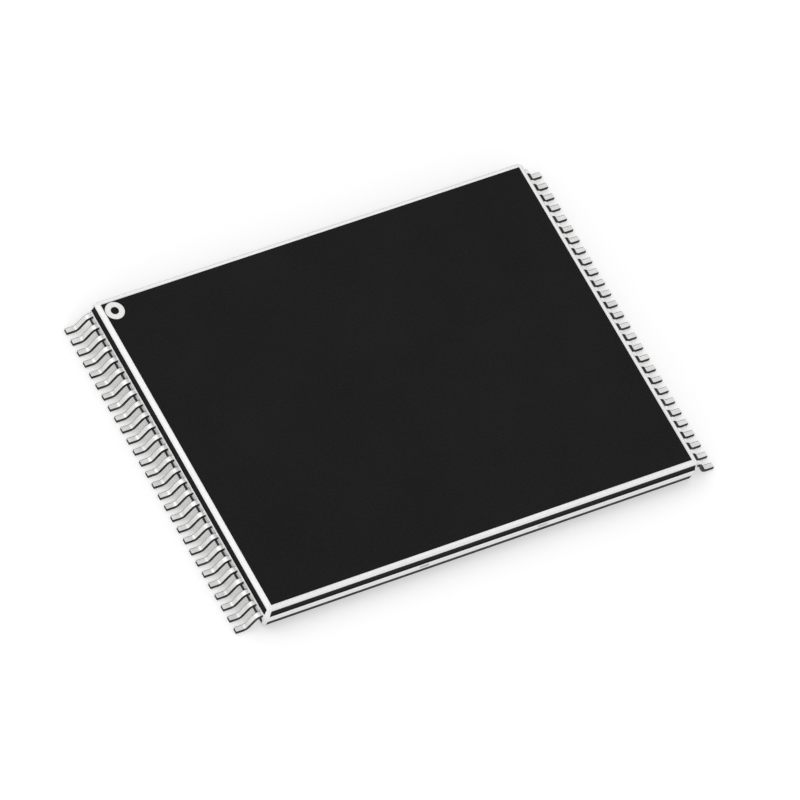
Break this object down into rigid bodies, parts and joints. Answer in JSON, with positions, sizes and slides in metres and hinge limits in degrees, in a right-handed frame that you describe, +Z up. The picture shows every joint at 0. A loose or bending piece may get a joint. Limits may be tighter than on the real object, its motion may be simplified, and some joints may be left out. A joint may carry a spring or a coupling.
{
  "type": "tsop chip",
  "caption": "Thin rectangular chip package with a black moulded body and a row of gull-wing leads along each short side, for soldering to the surface of a circuit board.",
  "frame": {"origin": "on the board's surface, where the lead feet stand, under the middle of the body", "axes": "+X from the left lead row to the right one, +Y along the rows towards the end with the first lead, +Z up from the board"},
  "size_m": [0.0202, 0.0142, 0.0012],
  "materials": {
    "moulding_compound": "black moulded epoxy, finely grained and matte",
    "tin_plating": "satin tin plating",
    "leadframe_strip": "bare rolled iron-nickel strip",
    "silicon": "polished silicon",
    "gold_wire": "drawn gold wire",
    "white_ink": "white marking ink"
  },
  "bodies": {
    "root": {"mould_body": "moulding_compound", "die_pad": "leadframe_strip", "die": "silicon", "bond_wires": "gold_wire", "lead_01": "tin_plating", "lead_02": "tin_plating", "lead_03": "tin_plating", "lead_04": "tin_plating", "lead_05": "tin_plating", "lead_06": "tin_plating", "lead_07": "tin_plating", "lead_08": "tin_plating", "lead_09": "tin_plating", "lead_10": "tin_plating", "lead_11": "tin_plating", "lead_12": "tin_plating", "lead_13": "tin_plating", "lead_14": "tin_plating", "lead_15": "tin_plating", "lead_16": "tin_plating", "lead_17": "tin_plating", "lead_18": "tin_plating", "lead_19": "tin_plating", "lead_20": "tin_plating", "lead_21": "tin_plating", "lead_22": "tin_plating", "lead_23": "tin_plating", "lead_24": "tin_plating", "lead_25": "tin_plating", "lead_26": "tin_plating", "lead_27": "tin_plating", "lead_28": "tin_plating", "lead_29": "tin_plating", "lead_30": "tin_plating", "lead_31": "tin_plating", "lead_32": "tin_plating", "lead_33": "tin_plating", "lead_34": "tin_plating", "lead_35": "tin_plating", "lead_36": "tin_plating", "lead_37": "tin_plating", "lead_38": "tin_plating", "lead_39": "tin_plating", "lead_40": "tin_plating", "lead_41": "tin_plating", "lead_42": "tin_plating", "lead_43": "tin_plating", "lead_44": "tin_plating", "lead_45": "tin_plating", "lead_46": "tin_plating", "lead_47": "tin_plating", "lead_48": "tin_plating", "lead_49": "tin_plating", "lead_50": "tin_plating", "lead_51": "tin_plating", "lead_52": "tin_plating", "lead_53": "tin_plating", "lead_54": "tin_plating", "lead_55": "tin_plating", "lead_56": "tin_plating"}
  },
  "joints": []
}
